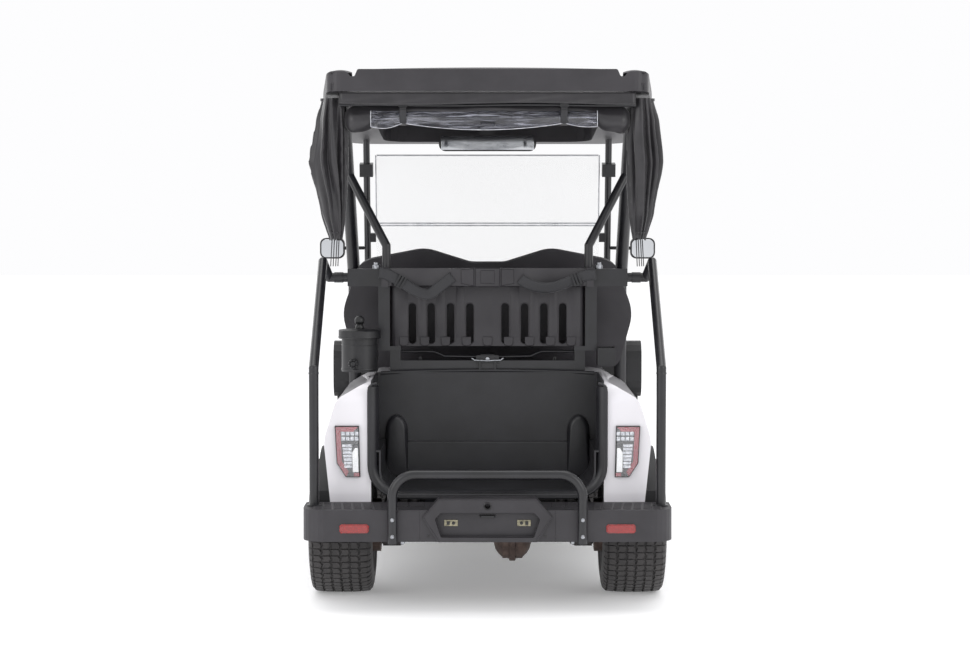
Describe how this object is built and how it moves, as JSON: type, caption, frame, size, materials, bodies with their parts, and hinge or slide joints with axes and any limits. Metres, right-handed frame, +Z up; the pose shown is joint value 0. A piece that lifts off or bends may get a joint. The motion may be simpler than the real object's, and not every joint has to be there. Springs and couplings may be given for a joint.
{
  "type": "two-seat electric golf cart",
  "caption": "Two-seat electric golf cart with a roof, a folding windshield, a rear bag well, a basket and rolled weather curtains.",
  "frame": {"origin": "on the ground at the middle of the whole cart's box", "axes": "+Y is the way the cart drives forward, +X is the passenger's side, +Z is up"},
  "size_m": [1.36, 2.4423, 1.77],
  "materials": {
    "frame_paint": "satin",
    "forged_steel": "satin",
    "rim_paint": "gloss",
    "tyre": "matte",
    "cast_housing": "rough",
    "motor_paint": "satin",
    "battery_case": "matte",
    "floor_mat": "matte",
    "white_body": "gloss",
    "black_plastic": "matte",
    "charcoal_plastic": "matte",
    "clear_lens": "gloss",
    "red_lens": "gloss",
    "tube_paint": "satin",
    "seat_vinyl": "satin",
    "webbing": "matte",
    "curtain_vinyl": "satin",
    "screen": "gloss"
  },
  "bodies": {
    "chassis": {"chassis_frame": "frame_paint", "front_axle": "frame_paint", "rear_axle": "cast_housing", "drive_motor": "motor_paint", "battery_pack": "battery_case", "leaf_springs": "frame_paint", "floorboard": "floor_mat", "front_cowl": "white_body", "wheel_arch_liners": "black_plastic", "front_bumper": "charcoal_plastic", "headlights": "clear_lens", "dashboard": "charcoal_plastic", "steering_column": "tube_paint", "pedals": "black_plastic", "seat_base": "charcoal_plastic", "seat_backrests": "seat_vinyl", "seat_back_shell": "charcoal_plastic", "hip_restraints": "black_plastic", "rear_body": "white_body", "fender_flares": "black_plastic", "bagwell_liner": "black_plastic", "rear_lamps": "red_lens", "rear_bumper": "charcoal_plastic", "loop_bar": "tube_paint", "grab_rails": "tube_paint", "sweater_basket": "charcoal_plastic", "bag_rack": "tube_paint", "bag_holder": "charcoal_plastic", "bag_straps": "webbing", "rear_struts": "tube_paint", "front_struts": "tube_paint", "roof": "charcoal_plastic", "windshield_lower": "screen", "cabin_mirror": "black_plastic", "side_mirrors": "black_plastic", "ball_washer": "charcoal_plastic", "bottle_bracket": "charcoal_plastic", "bag_cover_roll": "curtain_vinyl", "side_curtains": "curtain_vinyl"},
    "front_wheel_left": {"rim_front_left": "rim_paint", "tyre_front_left": "tyre"},
    "front_wheel_right": {"rim_front_right": "rim_paint", "tyre_front_right": "tyre"},
    "rear_wheel_left": {"rim_rear_left": "rim_paint", "tyre_rear_left": "tyre"},
    "rear_wheel_right": {"rim_rear_right": "rim_paint", "tyre_rear_right": "tyre"},
    "steer_knuckle_left": {"knuckle_left": "forged_steel"},
    "steer_knuckle_right": {"knuckle_right": "forged_steel"},
    "track_rod": {"tie_rod": "forged_steel"},
    "helm": {"steering_wheel": "black_plastic"},
    "seat": {"seat_pan": "frame_paint", "seat_cushion": "seat_vinyl"},
    "windshield_top": {"windshield_upper": "screen"}
  },
  "joints": [
    {"name": "rear_wheel_left_spin", "type": "hinge", "parent": "chassis", "child": "rear_wheel_left", "pos_m": [-0.492, -0.76, 0.2285], "axis": [1, 0, 0], "continuous": true},
    {"name": "rear_wheel_right_spin", "type": "hinge", "parent": "chassis", "child": "rear_wheel_right", "pos_m": [0.492, -0.76, 0.2285], "axis": [1, 0, 0], "continuous": true},
    {"name": "steer_left", "type": "hinge", "parent": "chassis", "child": "steer_knuckle_left", "pos_m": [-0.315, 0.88, 0.2245], "axis": [0, 0, 1], "range_deg": [-28, 28]},
    {"name": "steer_right", "type": "hinge", "parent": "chassis", "child": "steer_knuckle_right", "pos_m": [0.315, 0.88, 0.2245], "axis": [0, 0, 1], "range_deg": [-28, 28]},
    {"name": "front_wheel_left_spin", "type": "hinge", "parent": "steer_knuckle_left", "child": "front_wheel_left", "pos_m": [-0.435, 0.88, 0.2285], "axis": [1, 0, 0], "continuous": true},
    {"name": "front_wheel_right_spin", "type": "hinge", "parent": "steer_knuckle_right", "child": "front_wheel_right", "pos_m": [0.435, 0.88, 0.2285], "axis": [1, 0, 0], "continuous": true},
    {"name": "track_rod_pivot", "type": "hinge", "parent": "steer_knuckle_left", "child": "track_rod", "pos_m": [-0.315, 0.788, 0.1685], "axis": [0, 0, 1], "range_deg": [-28, 28]},
    {"name": "steering_wheel_turn", "type": "hinge", "parent": "chassis", "child": "helm", "pos_m": [-0.25, 0.38, 0.905], "axis": [0, -0.7193, 0.6947], "range_deg": [-336, 336]},
    {"name": "seat_lift", "type": "hinge", "parent": "chassis", "child": "seat", "pos_m": [0, 0.121, 0.606], "axis": [-1, 0, 0], "range_deg": [0, 55]},
    {"name": "windshield_fold", "type": "hinge", "parent": "chassis", "child": "windshield_top", "pos_m": [0, 0.72845, 1.24052], "axis": [-1, 0, 0], "range_deg": [0, 175]}
  ],
  "couplings": [
    {"joint": "steer_right", "follows": "steer_left", "ratio": 1},
    {"joint": "track_rod_pivot", "follows": "steer_left", "ratio": -1},
    {"joint": "steering_wheel_turn", "follows": "steer_left", "ratio": 12}
  ]
}
